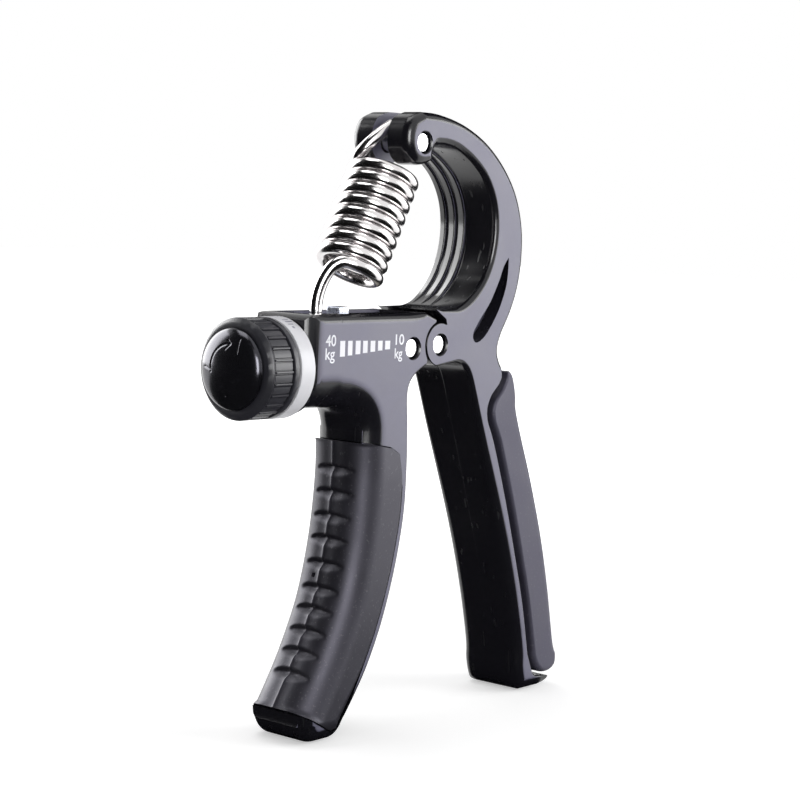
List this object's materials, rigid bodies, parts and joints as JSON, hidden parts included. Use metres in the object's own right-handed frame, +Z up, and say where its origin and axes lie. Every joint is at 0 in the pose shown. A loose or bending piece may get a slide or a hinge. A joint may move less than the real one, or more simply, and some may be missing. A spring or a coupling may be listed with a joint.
{
  "type": "hand gripper",
  "caption": "Adjustable spring hand gripper with a C-shaped frame, a palm leg, a pivoting finger handle and a screw knob that sets the pull.",
  "frame": {"origin": "centre of the bounding box at the level of the two feet", "axes": "+X from the knob towards the palm leg, +Y into the back side, +Z up through the C; the pivot pin and the other cross pins lie along Y"},
  "size_m": [0.124, 0.0244, 0.1539],
  "materials": {
    "frame_plastic": "moulded black plastic with satin grey flat faces",
    "handle_plastic": "moulded black plastic with satin grey flat faces",
    "palm_rubber": "matte soft-touch rubber",
    "sleeve_rubber": "matte soft-touch rubber with finger grooves",
    "pin_steel": "bright turned ends",
    "bush_steel": "plain turned",
    "screw_steel": "threaded, zinc plated",
    "nylon": "plain moulded",
    "spring_chrome": "bright plated wire",
    "ring_white": "smooth white moulding",
    "knob_plastic": "satin black with a knurled band",
    "cap_gloss": "polished black dome",
    "nut_zinc": "zinc plated block"
  },
  "bodies": {
    "frame": {"c_frame": "frame_plastic", "palm_pad": "palm_rubber", "spring_pin": "pin_steel", "pivot_pin": "pin_steel", "pivot_washer_front": "nylon", "pivot_washer_rear": "nylon", "spring": "spring_chrome"},
    "handle": {"finger_handle": "handle_plastic", "finger_sleeve": "sleeve_rubber", "cross_pin": "pin_steel", "end_bearing": "nylon", "index_ring": "ring_white", "front_bush": "nylon", "pivot_bush": "bush_steel"},
    "screw": {"adjusting_screw": "screw_steel", "knob_body": "knob_plastic", "knob_cap": "cap_gloss", "thrust_washer": "bush_steel", "retaining_clip": "bush_steel"},
    "nut": {"travelling_nut": "nut_zinc", "hook_pin": "pin_steel"}
  },
  "joints": [
    {"name": "squeeze", "type": "hinge", "parent": "frame", "child": "handle", "pos_m": [0.00545, 0, 0.096], "axis": [0, -1, 0], "range_deg": [0, 35], "stiffness_Nm_per_rad": 3, "springref_deg": -1.15, "deforming": ["spring"]},
    {"name": "knob_spin", "type": "hinge", "parent": "handle", "child": "screw", "pos_m": [0.00545, 0, 0.0912], "axis": [1, 0, 0], "range_deg": [-2881, 1801]},
    {"name": "nut_slide", "type": "slide", "parent": "handle", "child": "nut", "axis": [1, 0, 0], "range_m": [-0.005, 0.008], "deforming": ["spring"]}
  ],
  "couplings": [
    {"joint": "knob_spin", "follows": "nut_slide", "rad_per_m": -6283.2}
  ]
}
